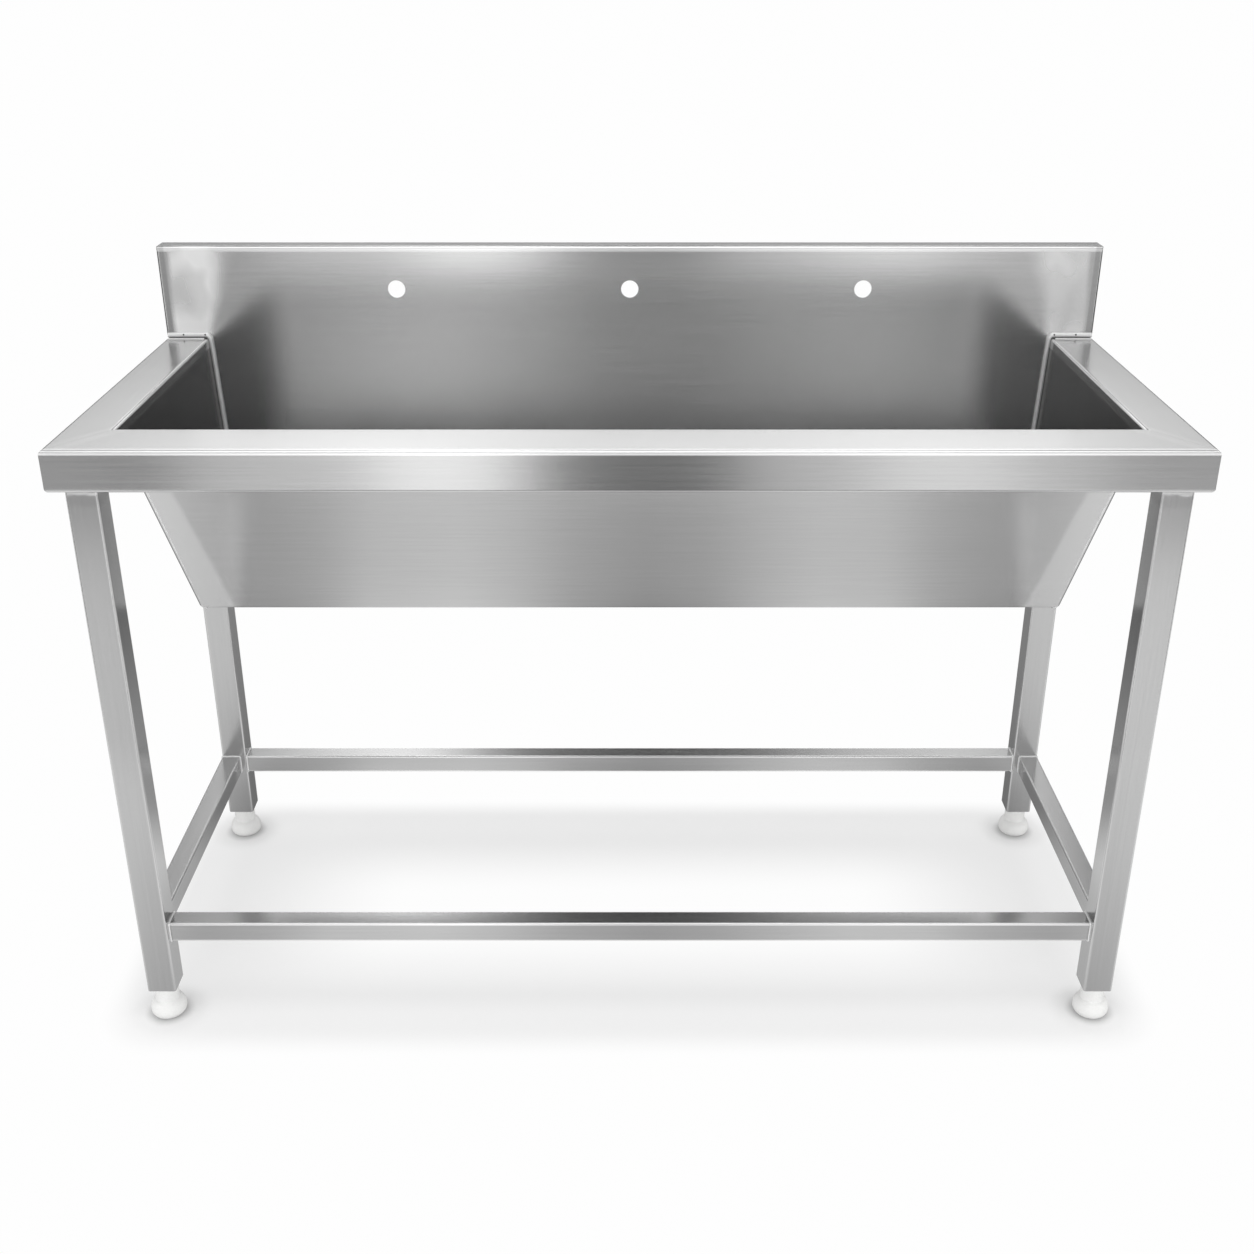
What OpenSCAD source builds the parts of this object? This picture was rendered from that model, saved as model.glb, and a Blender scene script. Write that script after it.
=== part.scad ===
// Three-station wash trough of folded stainless sheet on a square-tube stand.
// Millimetres. +X is to the right, -Y is the front, Z = 0 is the floor.

/* [Top] */
// Overall width
overall_w = 1400; // [1100:10:2000]
// Overall depth, front of the rim to the back of the splashback
overall_d = 584; // [530:1:720]
// Height of the rim above the floor, feet wound in
rim_h = 855; // [780:1:950]
// Thickness of the sheet
sheet_t = 1.5; // [1:0.1:2.5]
// Outer radius of every fold in the rim and the splashback
fold_r = 5; // [3:0.5:7]
// Width of the rim in front of the trough
rim_front_w = 87; // [75:1:110]
// Width of the rim at each end
rim_side_w = 64; // [62:1:100]
// Height of the apron
apron_h = 53; // [45:1:80]
// Width of the return along the bottom of the apron
apron_return = 15; // [10:1:16]
// Length of the rim's turn-down into the trough
turn_down = 14; // [9:1:20]

/* [Splashback] */
// Height of the splashback above the rim
splash_h = 136; // [110:1:300]
// Depth of the box that the splashback folds into
splash_box_d = 36; // [25:1:60]
// Width of the lip round the back of that box
splash_lip = 15; // [8:1:20]
// Diameter of a tap hole
tap_hole_d = 26; // [20:0.5:36]
// Distance between tap holes
tap_pitch = 348; // [250:1:450]
// Height of the tap holes above the rim
tap_above_rim = 73; // [40:1:85]

/* [Trough] */
// Depth of the trough below the rim
trough_depth = 335; // [250:1:360]
// Lean of the front wall from upright, in degrees
front_lean = 32; // [20:0.5:36]
// Lean of each end wall from upright, in degrees
end_lean = 2.6; // [0.5:0.1:8]
// Outer radius of the folds along the floor
floor_fold_r = 8; // [5:0.5:20]
// Height of the seam between the back wall and the floor's upturn
back_seam_h = 24; // [22:1:60]

/* [Legs] */
// Width of a leg tube
leg_w = 40; // [32:1:42]
// Wall of a leg tube
leg_wall = 1.5; // [1:0.1:3]
// Outer corner radius of a leg tube
leg_r = 3; // [2:0.5:5]
// Inset of the legs from the front and the ends of the rim
leg_inset = 17; // [16.5:0.5:19]
// Distance from the back of the rear legs to the back of the splashback
rear_leg_setback = 49; // [40:1:120]
// Thickness of the plate that closes the top of each leg
plate_t = 3; // [2:0.5:6]

/* [Rails] */
// Width and height of a rail tube
rail_w = 30; // [20:1:32]
// Wall of a rail tube
rail_wall = 1.2; // [1:0.1:2]
// Outer corner radius of a rail tube
rail_r = 3; // [2:0.5:5]
// Height of the top of the rails above the floor
rail_top_h = 158; // [120:1:400]

/* [Feet] */
// Height of a foot below the leg, wound in
foot_h = 49; // [44:1:60]
// Diameter of the round body of a foot
foot_d = 50; // [44:1:60]
// Diameter of the neck of a foot
neck_d = 33; // [28:0.5:36]
// Diameter of the flat that a foot stands on
pad_d = 36; // [24:1:40]
// Diameter of the threaded stud
stud_d = 12; // [8:1:14]
// Distance that a foot winds out
foot_travel = 25; // [10:1:30]
// Length of the plug that the stud screws into
plug_l = 38; // [34:1:60]
// Radial clearance between a stud and its plug
stud_clear = 0.05; // [0.03:0.01:0.1]

/* [Waste] */
// Outside diameter of the threaded waste tail
tail_d = 47.8; // [44:0.1:48]
// Outside diameter of the threaded shank that holds the waste in the trough
shank_d = 52; // [50:0.5:56]
// Bore of the waste tail
tail_bore_d = 40; // [30:0.5:40.5]
// Diameter of the waste flange
flange_d = 70; // [64:1:80]
// Depth of the end of the waste tail below the trough
tail_drop = 52; // [40:1:75]
// Distance from the back wall to the middle of the waste
waste_from_back = 110; // [80:1:130]

/* [Hidden] */
$fn = 64;

steel = "gainsboro";
reach = 3000;                          // size of a cutting solid
eps = 0.01;                            // overlap of solids that are joined
fold_steps = 6;                        // straight steps in a folded corner
seat_gap = 0.3;                        // gap between pieces that move against each other
snug = 0.02;                           // radial gap of a piece moulded or pressed into another
left = -1;
right = 1;
front = -1;
rear = 1;

half_w = overall_w / 2;
front_y = -overall_d / 2;
back_y = overall_d / 2;
splash_y = back_y - splash_box_d;      // front face of the splashback
splash_top = rim_h + splash_h;
apron_z = rim_h - apron_h;
turn_z = rim_h - turn_down;

mouth_x = half_w - rim_side_w;         // inner face of an end wall, at rim height
mouth_y = front_y + rim_front_w;       // inner face of the front wall, at rim height
front_run = tan(front_lean);           // run of the front wall along Y, per unit of drop
end_run = tan(end_lean);               // run of an end wall along X, per unit of drop
front_t = sheet_t / cos(front_lean);   // the front wall's thickness along Y
end_t = sheet_t / cos(end_lean);       // an end wall's thickness along X
floor_z = rim_h - trough_depth;        // underside of the trough's floor
floor_top = floor_z + sheet_t;
back_seam_z = floor_z + back_seam_h;

leg_x = half_w - leg_inset - leg_w / 2;
leg_front_y = front_y + leg_inset + leg_w / 2;
leg_rear_y = back_y - rear_leg_setback - leg_w / 2;
leg_inner_w = leg_w - 2 * leg_wall;
leg_top = rim_h - sheet_t - plate_t;
plate_w = leg_w - 2;

rail_z = rail_top_h - rail_w / 2;
rail_front_y = leg_front_y + (leg_w - rail_w) / 2;
rail_rear_y = leg_rear_y - (leg_w - rail_w) / 2;
rail_x = leg_x + (leg_w - rail_w) / 2;

plug_play = 0.1;                       // gap round a plug in its leg
plug_r = 2;                            // corner radius of a plug
stud_grip = 28;                        // length of stud moulded into the foot
stud_hold = 17;                        // length of stud left in the plug, wound out
stud_rise = foot_travel + stud_hold;   // height of the stud above the foot
stud_chamfer = 1.2;
neck_z = foot_h - seat_gap;            // top of a foot
disc_t = 2.4;                          // thickness of the disc at the top of a foot
disc_d = neck_d + 4;
belly_z = 10;                          // height of the widest part of a foot
neck_low_z = foot_h - 23;              // where the shoulder of a foot meets its neck
shoulder_a = 75;                       // degrees that the shoulder turns through

waste_y = splash_y - waste_from_back;
gasket_t = 1.5;
flange_t = 3;
grid_t = 1.5;
grid_d = tail_bore_d + 14;
grid_play = 0.3;
grid_hole_d = 5;
grid_hole_rings = [[10, 6], [17.5, 12]]; // radius and number of holes
dish_drop = gasket_t + flange_t + 0.5; // depth of the recess pressed round the waste
dish_top = floor_top - dish_drop;
dish_d = flange_d + 4;
waste_hole_d = shank_d + 1.2;
under_t = 3;                           // thickness of the washer under the trough
nut_h = 12;
nut_d = shank_d + 20;                  // across the corners
thread_clear = 0.2;                    // radial, between the nut and the shank
bar_w = 8;                             // bar across the tail that takes the grid's screw
bar_h = 6;
boss_d = 12;
screw_d = 5;
screw_head_d = 9;
screw_head_h = 2;

flange_z = dish_top + gasket_t;        // underside of the flange
grid_z = flange_z + flange_t - grid_t; // underside of the grid
under_z = dish_top - sheet_t - under_t;
nut_z = under_z - nut_h;
tail_z = floor_z - tail_drop;

// Folded sheet

function unit(v) = v / norm(v);
function left_of(v) = [-v.y, v.x];
function reversed(list) = [for (i = [len(list) - 1 : -1 : 0]) list[i]];

function arc(centre, r, from, to) = [
    for (k = [0 : fold_steps])
        let (a = from + (to - from) * k / fold_steps)
        centre + r * [cos(a), sin(a)]
];

function fold_points(at, d1, turn, r, off) =
    let (
        side = sign(turn),
        centre = at - d1 * r * tan(abs(turn) / 2) + left_of(d1) * side * r,
        start = atan2(d1.y, d1.x) - side * 90
    )
    arc(centre, r - side * off, start, start + turn);

// One face of a folded strip. path is its middle line, r the middle radius of its folds, and
// off the distance of the face to the left of the path.
function face_points(path, r, off) = [
    for (i = [0 : len(path) - 1])
        let (
            last = len(path) - 1,
            d1 = i == 0 ? unit(path[1] - path[0]) : unit(path[i] - path[i - 1]),
            d2 = i == last ? d1 : unit(path[min(i + 1, last)] - path[i]),
            turn = atan2(d1.x * d2.y - d1.y * d2.x, d1 * d2)
        )
        each i == 0 || i == last
            ? [path[i] + left_of(d1) * off]
            : fold_points(path[i], d1, turn, r, off)
];

module strip(path, r = fold_r - sheet_t / 2)
    polygon(concat(
        face_points(path, r, sheet_t / 2),
        reversed(face_points(path, r, -sheet_t / 2))
    ));

// A profile drawn in Y and Z, carried along X
module along_x(x0, x1)
    translate([x0, 0, 0]) rotate([90, 0, 90]) linear_extrude(x1 - x0) children();

// A profile drawn in X and Z, carried along Y
module along_y(y0, y1)
    translate([0, y1, 0]) rotate([90, 0, 0]) linear_extrude(y1 - y0) children();

module on_side(side) mirror([side == left ? 1 : 0, 0, 0]) children();

module at_corner(side, end)
    translate([side * leg_x, end == front ? leg_front_y : leg_rear_y, 0]) children();

// Rim

// Everything in front of the mitres. Inside the rim, the joint follows the trough's corner.
module mitre_plan() {
    run = 2 * turn_down;
    inner = [mouth_x - end_run * run, mouth_y + front_run * run];
    half = [[half_w + eps, front_y - reach], [half_w + eps, front_y], [half_w, front_y],
        [mouth_x, mouth_y], inner];
    polygon(concat(half, [for (p = reversed(half)) [-p.x, p.y]]));
}

module before_mitre()
    translate([0, 0, apron_z - 1]) linear_extrude(apron_h + 2) mitre_plan();

// Profile of the rim, from the return of its apron to the turn-down into the trough.
// outer is its outer face, wall its inner face at rim height, run and t those of the wall.
module rim_profile(outer, wall, run, t) {
    inward = sign(wall - outer);
    h = sheet_t / 2;
    middle = wall - inward * t / 2;
    difference() {
        strip([
            [outer + inward * apron_return, apron_z + h],
            [outer + inward * h, apron_z + h],
            [outer + inward * h, rim_h - h],
            [middle + inward * run * h, rim_h - h],
            [middle + inward * run * (turn_down + 2 * sheet_t), turn_z - 2 * sheet_t]
        ]);
        translate([middle + inward * (reach / 2 - 2 * turn_down), turn_z - reach / 2])
            square(reach, center = true);
    }
}

module front_rim()
    color(steel)
        intersection() {
            along_x(-half_w, half_w) rim_profile(front_y, mouth_y, front_run, front_t);
            before_mitre();
        }

module side_rim(side)
    color(steel)
        on_side(side) {
            difference() {
                along_y(front_y, back_y) rim_profile(half_w, mouth_x, end_run, end_t);
                before_mitre();
                // behind the back wall only the top and the apron run on
                translate([0, splash_y + sheet_t, apron_z])
                    cube([mouth_x + fold_r, reach, apron_h + 1]);
                // the turn-down stops at the outside of the front wall
                difference() {
                    translate([0, front_y, turn_z - 1])
                        cube([mouth_x + fold_r, rim_front_w + front_run * turn_down,
                            turn_down - fold_r + 1]);
                    trough_solid(1);
                }
            }
            rim_end();
        }

// Plate that closes the rear end of a side rim
module rim_end()
    along_y(back_y - sheet_t, back_y)
        polygon(concat(
            [[mouth_x + fold_r, rim_h], [mouth_x + fold_r, apron_z]],
            arc([half_w - fold_r, apron_z + fold_r], fold_r, -90, 0),
            arc([half_w - fold_r, rim_h - fold_r], fold_r, 0, 90)
        ));

// Trough

// The trough seen from the end, as a solid: skin = 0 is its inside, skin = 1 its outside
module trough_side_view(skin) {
    z = floor_top - sheet_t * skin;
    r = floor_fold_r - sheet_t * (1 - skin);
    back = splash_y + sheet_t * skin;
    wall = mouth_y - front_t * skin;
    bend = 90 - front_lean;
    fold = [wall + front_run * (rim_h - z) + r * tan(bend / 2), z + r];
    polygon(concat(
        [[back, rim_h + reach], [wall - front_run * reach, rim_h + reach]],
        arc(fold, r, 180 + front_lean, 270),
        arc([back - r, z + r], r, -90, 0)
    ));
}

// The same, seen from the front
module trough_front_view(skin) {
    z = floor_top - sheet_t * skin;
    r = floor_fold_r - sheet_t * (1 - skin);
    wall = mouth_x + end_t * skin;
    bend = 90 - end_lean;
    fold = [wall - end_run * (rim_h - z) - r * tan(bend / 2), z + r];
    half = concat(
        arc(fold, r, -90, -end_lean),
        [[wall + end_run * reach, rim_h + reach]]
    );
    polygon(concat(half, [for (p = reversed(half)) [-p.x, p.y]]));
}

module trough_solid(skin)
    intersection() {
        along_x(-half_w, half_w) trough_side_view(skin);
        along_y(front_y, back_y) trough_front_view(skin);
    }

// Half the space between the planes of the end walls' inner faces, from z0 to z1
function inner_edge(z0, z1) =
    [for (z = [z0, z1]) [mouth_x - end_run * (rim_h - z), z]];

module between_ends(z0, z1)
    let (edge = inner_edge(z0, z1))
        polygon(concat(edge, [for (p = reversed(edge)) [-p.x, p.y]]));

module trough_front_and_floor()
    color(steel)
        difference() {
            union() {
                difference() {
                    intersection() {
                        trough_solid(1);
                        along_y(front_y, back_y) between_ends(floor_z - 1, turn_z);
                    }
                    trough_solid(0);
                    // the splashback's sheet takes over above the seam
                    translate([-half_w, splash_y - eps, back_seam_z])
                        cube([overall_w, 2 * sheet_t, trough_depth]);
                    translate([0, waste_y, floor_z - 1]) cylinder(d = dish_d, h = sheet_t + 2);
                }
                waste_dish();
            }
            translate([0, waste_y, dish_top - sheet_t - 1]) cylinder(d = waste_hole_d, h = sheet_t + 2);
        }

// Recess pressed into the floor, so that the waste's flange lies just below the floor
module waste_dish() {
    edge = dish_d / 2 + eps;
    foot = dish_d / 2 - 1;
    step = sheet_t * 0.6;
    translate([0, waste_y, 0])
        rotate_extrude()
            polygon([
                [edge, floor_top], [edge, floor_z],
                [foot + step, floor_z - step], [foot + step, dish_top - sheet_t],
                [0, dish_top - sheet_t], [0, dish_top], [foot, dish_top], [foot, floor_top]
            ]);
}

module trough_end(side)
    color(steel)
        on_side(side)
            difference() {
                intersection() {
                    trough_solid(1);
                    translate([0, front_y, floor_z - 1])
                        cube([half_w, overall_d, trough_depth - turn_down + 1]);
                }
                along_y(front_y - 1, back_y + 1) between_ends(floor_z - 2, rim_h);
            }

// Splashback

// Box of the splashback, set in by off on every face
module splash_box(off) {
    r = fold_r - off;
    corner_r = fold_r / 2 - off / 2;
    y0 = splash_y + off;
    y1 = back_y - off;
    top = splash_top - off;
    x = half_w - off;
    low = rim_h - off * reach;
    intersection() {
        along_x(-x, x)
            polygon(concat(
                [[y0, low]], [[y1, low]],
                arc([y1 - r, top - r], r, 0, 90), arc([y0 + r, top - r], r, 90, 180)
            ));
        along_y(y0, y1)
            polygon(concat(
                [[-x, low], [x, low]],
                arc([x - corner_r, top - corner_r], corner_r, 0, 90),
                arc([-x + corner_r, top - corner_r], corner_r, 90, 180)
            ));
        translate([0, 0, low])
            linear_extrude(top - low)
                polygon(concat(
                    arc([x - r, y0 + r], r, -90, 0), arc([x - r, y1 - r], r, 0, 90),
                    arc([-x + r, y1 - r], r, 90, 180), arc([-x + r, y0 + r], r, 180, 270)
                ));
    }
}

module splashback()
    color(steel)
        difference() {
            union() {
                difference() {
                    splash_box(0);
                    splash_box(sheet_t);
                    // inside the lips, the back is open
                    translate([-half_w + splash_lip, back_y - 2 * fold_r, rim_h - 1])
                        cube([overall_w - 2 * splash_lip, 3 * fold_r, splash_h - splash_lip + 1]);
                }
                along_y(splash_y, splash_y + sheet_t)
                    between_ends(back_seam_z, rim_h + fold_r);
            }
            for (i = [-1 : 1])
                translate([i * tap_pitch, splash_y - 1, rim_h + tap_above_rim])
                    rotate([-90, 0, 0]) cylinder(d = tap_hole_d, h = sheet_t + 2);
        }

module rear_stiffener() {
    h = sheet_t / 2;
    y0 = splash_y + sheet_t;
    y1 = back_y - h;
    color(steel)
        along_x(-mouth_x - fold_r, mouth_x + fold_r)
            strip([[y0, rim_h - h], [y1, rim_h - h], [y1, apron_z + h], [y0, apron_z + h]]);
}

// Legs and rails

module rounded_square(w, r) {
    square([w - 2 * r, w], center = true);
    square([w, w - 2 * r], center = true);
    for (x = [-1, 1], y = [-1, 1])
        translate([x, y] * (w / 2 - r)) circle(r);
}

module tube_section(w, wall, r)
    difference() {
        rounded_square(w, r);
        rounded_square(w - 2 * wall, max(r - wall, 0.5));
    }

module leg(side, end)
    color(steel)
        at_corner(side, end)
            translate([0, 0, foot_h])
                linear_extrude(leg_top - foot_h) tube_section(leg_w, leg_wall, leg_r);

module plate(side, end)
    color(steel)
        at_corner(side, end)
            translate([0, 0, leg_top]) linear_extrude(plate_t) rounded_square(plate_w, leg_r);

module cross_rail(y)
    color(steel)
        translate([0, y, rail_z])
            along_x(-leg_x + leg_w / 2, leg_x - leg_w / 2) tube_section(rail_w, rail_wall, rail_r);

module side_rail(side)
    color(steel)
        translate([side * rail_x, 0, rail_z])
            along_y(leg_front_y + leg_w / 2, leg_rear_y - leg_w / 2)
                tube_section(rail_w, rail_wall, rail_r);

// Feet

module plug(side, end)
    color("ivory")
        at_corner(side, end)
            translate([0, 0, foot_h])
                difference() {
                    linear_extrude(plug_l) rounded_square(leg_inner_w - 2 * plug_play, plug_r);
                    translate([0, 0, -1]) cylinder(d = stud_d + 2 * stud_clear, h = plug_l + 2);
                }

module stud(side, end)
    color("silver")
        at_corner(side, end) {
            bottom = foot_h - stud_grip;
            length = stud_grip + stud_rise;
            translate([0, 0, bottom]) cylinder(d = stud_d, h = length - stud_chamfer);
            translate([0, 0, bottom + length - stud_chamfer])
                cylinder(d1 = stud_d, d2 = stud_d - 2 * stud_chamfer, h = stud_chamfer);
        }

// Half outline of a foot: flat pad, low belly, round shoulder, straight neck, disc on top
function foot_outline() =
    let (
        steps = 12,
        belly_r = foot_d / 2,
        neck_r = neck_d / 2,
        shoulder_r = (belly_r - neck_r) / (1 - cos(shoulder_a)),
        shoulder_h = (neck_low_z - belly_z) / sin(shoulder_a)
    )
    concat(
        [[0, 0]],
        [for (k = [0 : steps])
            let (a = -90 + 90 * k / steps)
            [pad_d / 2 + (belly_r - pad_d / 2) * cos(a), belly_z * (1 + sin(a))]],
        [for (k = [1 : steps])
            let (a = shoulder_a * k / steps)
            [belly_r - shoulder_r * (1 - cos(a)), belly_z + shoulder_h * sin(a)]],
        [[neck_r, neck_z - disc_t], [disc_d / 2 - 0.4, neck_z - disc_t],
            [disc_d / 2, neck_z - disc_t + 0.4], [disc_d / 2, neck_z - 0.4],
            [disc_d / 2 - 0.4, neck_z], [0, neck_z]]
    );

module foot(side, end)
    color("white")
        at_corner(side, end)
            difference() {
                rotate_extrude() polygon(foot_outline());
                translate([0, 0, foot_h - stud_grip])
                    cylinder(r = stud_d / 2 + snug, h = stud_grip + 1);
            }

// Waste

module at_waste(z) translate([0, waste_y, z]) children();

module ring(outer, inner, h)
    difference() {
        cylinder(d = outer, h = h);
        translate([0, 0, -1]) cylinder(d = inner, h = h + 2);
    }

module waste_body()
    color("lightgray") {
        shank_z = nut_z - 2;
        difference() {
            union() {
                at_waste(flange_z) cylinder(d = flange_d, h = flange_t);
                at_waste(shank_z) cylinder(d = shank_d, h = flange_z - shank_z + eps);
                at_waste(tail_z) cylinder(d = tail_d, h = shank_z - tail_z + eps);
            }
            at_waste(grid_z) cylinder(d = grid_d + 2 * grid_play, h = grid_t + 1);
            difference() {
                at_waste(tail_z - 1) cylinder(d = tail_bore_d, h = flange_z + flange_t - tail_z + 2);
                at_waste(grid_z - bar_h / 2) cube([tail_bore_d + 2, bar_w, bar_h], center = true);
                at_waste(grid_z - bar_h) cylinder(d = boss_d, h = bar_h);
            }
            at_waste(grid_z - bar_h - 1) cylinder(r = screw_d / 2 + snug, h = bar_h + 2);
        }
    }

module waste_gasket_top()
    color("dimgray") at_waste(dish_top) ring(flange_d - 4, shank_d + 1, gasket_t);

module waste_gasket_under()
    color("dimgray") at_waste(under_z) ring(nut_d - 8, shank_d + 1, under_t);

module waste_nut()
    color("lightgray")
        at_waste(nut_z)
            difference() {
                cylinder(d = nut_d, h = nut_h, $fn = 6);
                translate([0, 0, -1]) cylinder(r = shank_d / 2 + thread_clear, h = nut_h + 2);
            }

module waste_grid()
    color("lightgray")
        at_waste(grid_z)
            difference() {
                cylinder(d = grid_d, h = grid_t);
                translate([0, 0, -1]) cylinder(r = screw_d / 2 + snug, h = grid_t + 2);
                for (r = grid_hole_rings, k = [0 : r[1] - 1])
                    rotate(360 * k / r[1])
                        translate([r[0], 0, -1]) cylinder(d = grid_hole_d, h = grid_t + 2);
            }

module waste_screw()
    color("silver") {
        shank = grid_t + bar_h;
        at_waste(grid_z + grid_t) cylinder(d1 = screw_head_d, d2 = screw_head_d - 2, h = screw_head_h);
        at_waste(grid_z + grid_t - shank) cylinder(d = screw_d, h = shank + eps);
    }

front_rim();
side_rim(left);  // left_rim
side_rim(right);  // right_rim
splashback();
rear_stiffener();
trough_front_and_floor();
trough_end(left);  // trough_left_end
trough_end(right);  // trough_right_end
plate(left, front);  // plate_front_left
plate(right, front);  // plate_front_right
plate(left, rear);  // plate_rear_left
plate(right, rear);  // plate_rear_right
leg(left, front);  // leg_front_left
leg(right, front);  // leg_front_right
leg(left, rear);  // leg_rear_left
leg(right, rear);  // leg_rear_right
cross_rail(rail_front_y);  // rail_front
cross_rail(rail_rear_y);  // rail_rear
side_rail(left);  // rail_left
side_rail(right);  // rail_right
plug(left, front);  // plug_front_left
plug(right, front);  // plug_front_right
plug(left, rear);  // plug_rear_left
plug(right, rear);  // plug_rear_right
stud(left, front);  // stud_front_left
stud(right, front);  // stud_front_right
stud(left, rear);  // stud_rear_left
stud(right, rear);  // stud_rear_right
foot(left, front);  // foot_front_left
foot(right, front);  // foot_front_right
foot(left, rear);  // foot_rear_left
foot(right, rear);  // foot_rear_right
waste_body();
waste_gasket_top();
waste_gasket_under();
waste_nut();
waste_grid();
waste_screw();
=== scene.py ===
import bpy
import bmesh
import math
from mathutils import Matrix, Vector


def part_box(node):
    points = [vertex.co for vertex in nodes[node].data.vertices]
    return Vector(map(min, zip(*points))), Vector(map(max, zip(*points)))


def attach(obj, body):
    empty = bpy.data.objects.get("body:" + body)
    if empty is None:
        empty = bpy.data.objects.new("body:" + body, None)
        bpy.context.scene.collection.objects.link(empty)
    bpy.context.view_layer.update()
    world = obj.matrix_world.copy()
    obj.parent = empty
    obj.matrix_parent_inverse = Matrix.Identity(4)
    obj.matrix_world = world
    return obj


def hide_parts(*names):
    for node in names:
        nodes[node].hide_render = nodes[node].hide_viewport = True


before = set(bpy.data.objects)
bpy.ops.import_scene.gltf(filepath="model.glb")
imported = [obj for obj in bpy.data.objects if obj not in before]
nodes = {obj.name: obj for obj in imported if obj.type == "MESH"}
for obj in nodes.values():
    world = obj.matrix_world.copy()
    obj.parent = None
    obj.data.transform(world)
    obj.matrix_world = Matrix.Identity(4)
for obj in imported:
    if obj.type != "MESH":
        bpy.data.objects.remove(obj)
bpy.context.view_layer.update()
mm = 0.001
print("frame loaded:", len(nodes), "nodes")

# places that everything below is measured from
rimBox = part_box("front_rim")
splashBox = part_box("splashback")
rimTop = rimBox[1].z
rimFront = rimBox[0].y
apronFoot = rimBox[0].z
halfWidth = rimBox[1].x
corners = [side + "_" + end for side in ("front", "rear") for end in ("left", "right")]


# camera

cameraView = {
    "lens": 43.035,              # mm, on a 36 mm sensor
    "sensor": 36,
    "pitchDown": 24.845,         # degrees
    "beforeRim": 1.6939,
    "aboveRim": 0.5554,
    "shift": -0.0022,
}


def placeCamera(view):
    data = bpy.data.cameras.new("photoCamera")
    data.lens = view["lens"]
    data.sensor_width = view["sensor"]
    data.shift_x = view["shift"]
    camera = bpy.data.objects.new("photoCamera", data)
    bpy.context.collection.objects.link(camera)
    camera.location = (0, rimFront - view["beforeRim"], rimTop + view["aboveRim"])
    camera.rotation_euler = (math.radians(90 - view["pitchDown"]), 0, 0)
    bpy.context.scene.camera = camera


placeCamera(cameraView)
print("camera placed")


# shader wiring

class Signal:
    # a socket that takes part in sums; every operator adds one Math node
    def __init__(self, tree, socket):
        self.tree = tree
        self.socket = socket

    def math(self, operation, *others):
        node = self.tree.nodes.new("ShaderNodeMath")
        node.operation = operation
        for slot, value in zip(node.inputs, others):
            feed(self.tree, slot, value)
        return Signal(self.tree, node.outputs[0])

    def __add__(self, other):
        return self.math("ADD", self, other)

    def __radd__(self, other):
        return self.math("ADD", other, self)

    def __sub__(self, other):
        return self.math("SUBTRACT", self, other)

    def __rsub__(self, other):
        return self.math("SUBTRACT", other, self)

    def __mul__(self, other):
        return self.math("MULTIPLY", self, other)

    def __rmul__(self, other):
        return self.math("MULTIPLY", other, self)

    def __truediv__(self, other):
        return self.math("DIVIDE", self, other)

    def __pow__(self, other):
        return self.math("POWER", self, other)

    def __abs__(self):
        return self.math("ABSOLUTE", self)

    def top(self, other):
        return self.math("MAXIMUM", self, other)

    def low(self, other):
        return self.math("MINIMUM", self, other)


def feed(tree, slot, value):
    if isinstance(value, Signal):
        tree.links.new(value.socket, slot)
    elif value is not None:
        slot.default_value = value


class Finish:
    # one material, world or lamp being wired
    def __init__(self, tree):
        self.tree = tree
        tree.nodes.clear()

    def add(self, kind, settings=None, inputs=None, out=0):
        node = self.tree.nodes.new("ShaderNode" + kind)
        for name, value in (settings or {}).items():
            if name == "stops":
                setStops(node.color_ramp, value)
            else:
                setattr(node, name, value)
        for name, value in (inputs or {}).items():
            feed(self.tree, node.inputs[name], value)
        return Signal(self.tree, node.outputs[out]) if len(node.outputs) else node

    def spot(self):
        return self.add("TexCoord", out="Object")

    def split(self, vector):
        node = self.tree.nodes.new("ShaderNodeSeparateXYZ")
        feed(self.tree, node.inputs[0], vector)
        return [Signal(self.tree, socket) for socket in node.outputs]

    def scaled(self, vector, scale):
        return self.add("VectorMath", {"operation": "MULTIPLY"}, {0: vector, 1: scale})

    def grain(self, vector, scale, detail=2.0, rough=0.5, distort=0.0):
        inputs = {"Vector": self.scaled(vector, scale), "Scale": 1.0, "Detail": detail,
                  "Roughness": rough, "Distortion": distort}
        return self.add("TexNoise", {}, inputs)

    def remap(self, value, low, high, toLow=0.0, toHigh=1.0, smooth=True):
        kind = "SMOOTHSTEP" if smooth else "LINEAR"
        inputs = {"Value": value, "From Min": low, "From Max": high, "To Min": toLow, "To Max": toHigh}
        return self.add("MapRange", {"interpolation_type": kind}, inputs)

    def rise(self, value, span, start=0.0):
        # from 0 to 1 over a span that is counted from start
        return self.remap(value, start + span[0], start + span[1])

    def fall(self, value, span, start=0.0):
        return self.remap(value, start + span[0], start + span[1], 1, 0)

    def levels(self, value, table):
        # grey levels against a value, given as pairs
        low, high = table[0][0], table[-1][0]
        stops = [((place - low) / (high - low), grey(level)) for place, level in table]
        share = self.remap(value, low, high, smooth=False)
        return self.add("ValToRGB", {"stops": stops}, {0: share})

    def blend(self, share, first, second):
        return self.add("Mix", {"data_type": "RGBA"}, {"Factor": share, 6: first, 7: second}, out=2)


def setStops(ramp, stops):
    while len(ramp.elements) < len(stops):
        ramp.elements.new(1.0)
    for element, (place, color) in zip(ramp.elements, stops):
        element.position = place
        element.color = color


def grey(level):
    return (level, level, level, 1.0)


def newMaterial(name):
    material = bpy.data.materials.new(name)
    material.use_nodes = True
    return material, Finish(material.node_tree)


def closeMaterial(finish, surface):
    finish.add("OutputMaterial", {}, {"Surface": surface})


# brushed stainless

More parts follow.
